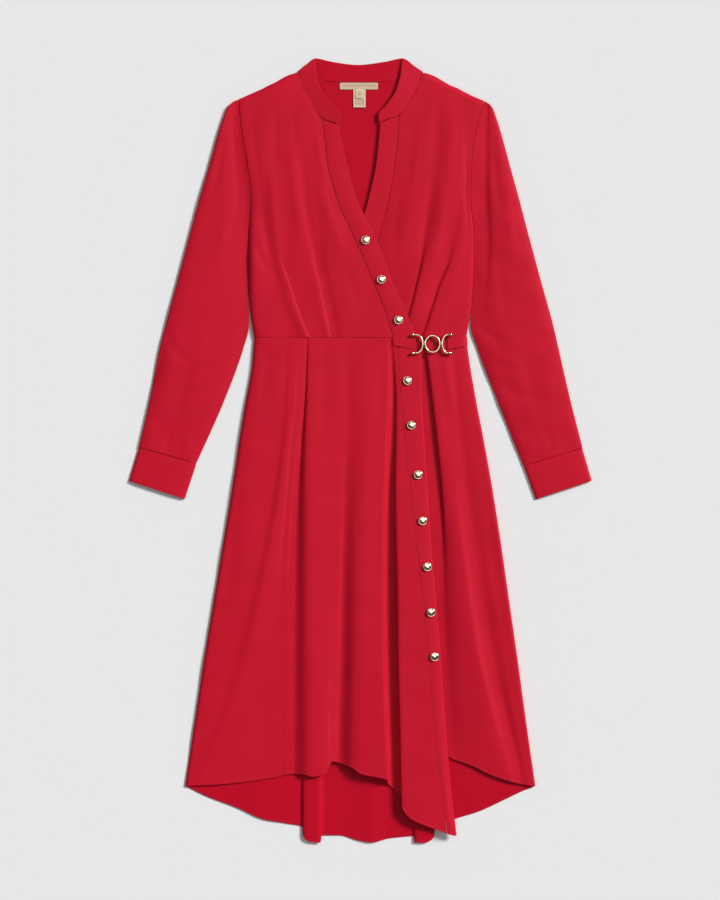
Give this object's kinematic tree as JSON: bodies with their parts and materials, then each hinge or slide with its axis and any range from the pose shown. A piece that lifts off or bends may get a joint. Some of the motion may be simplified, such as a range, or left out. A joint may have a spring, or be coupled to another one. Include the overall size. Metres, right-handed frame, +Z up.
{
  "type": "shirt dress",
  "caption": "Long-sleeved wrap shirt dress laid flat, with a stand collar, buttoned front bands, clasped waist tabs, pleated bodice and a flared skirt that is longer at the back.",
  "frame": {"origin": "middle of the dress's outline, on the surface that it lies on", "axes": "+Y from hem to collar, +X towards the wearer's left sleeve, at the right as seen, +Z up from the surface that the dress lies on"},
  "size_m": [0.7402, 1.255, 0.0209],
  "materials": {
    "red_crepe": "matte crepe",
    "pale_gold_metal": "polished",
    "woven_label": "woven satin"
  },
  "bodies": {
    "root": {"back_skirt": "red_crepe", "back_bodice": "red_crepe", "front_skirt_left": "red_crepe", "placket_skirt": "red_crepe", "front_skirt_right": "red_crepe", "front_bodice_left": "red_crepe", "front_bodice_right": "red_crepe", "placket_bodice": "red_crepe", "facing_right": "red_crepe", "collar_left": "red_crepe", "collar_right": "red_crepe", "collar_back": "red_crepe", "sleeve_left": "red_crepe", "sleeve_right": "red_crepe", "cuff_left": "red_crepe", "cuff_right": "red_crepe", "belt_tab_left": "red_crepe", "belt_tab_right": "red_crepe", "clasp_hook_left": "pale_gold_metal", "clasp_ring": "pale_gold_metal", "clasp_hook_right": "pale_gold_metal", "button_01": "pale_gold_metal", "button_02": "pale_gold_metal", "button_03": "pale_gold_metal", "button_04": "pale_gold_metal", "button_05": "pale_gold_metal", "button_06": "pale_gold_metal", "button_07": "pale_gold_metal", "button_08": "pale_gold_metal", "button_09": "pale_gold_metal", "button_10": "pale_gold_metal", "neck_label": "woven_label", "care_label": "woven_label"}
  },
  "joints": []
}
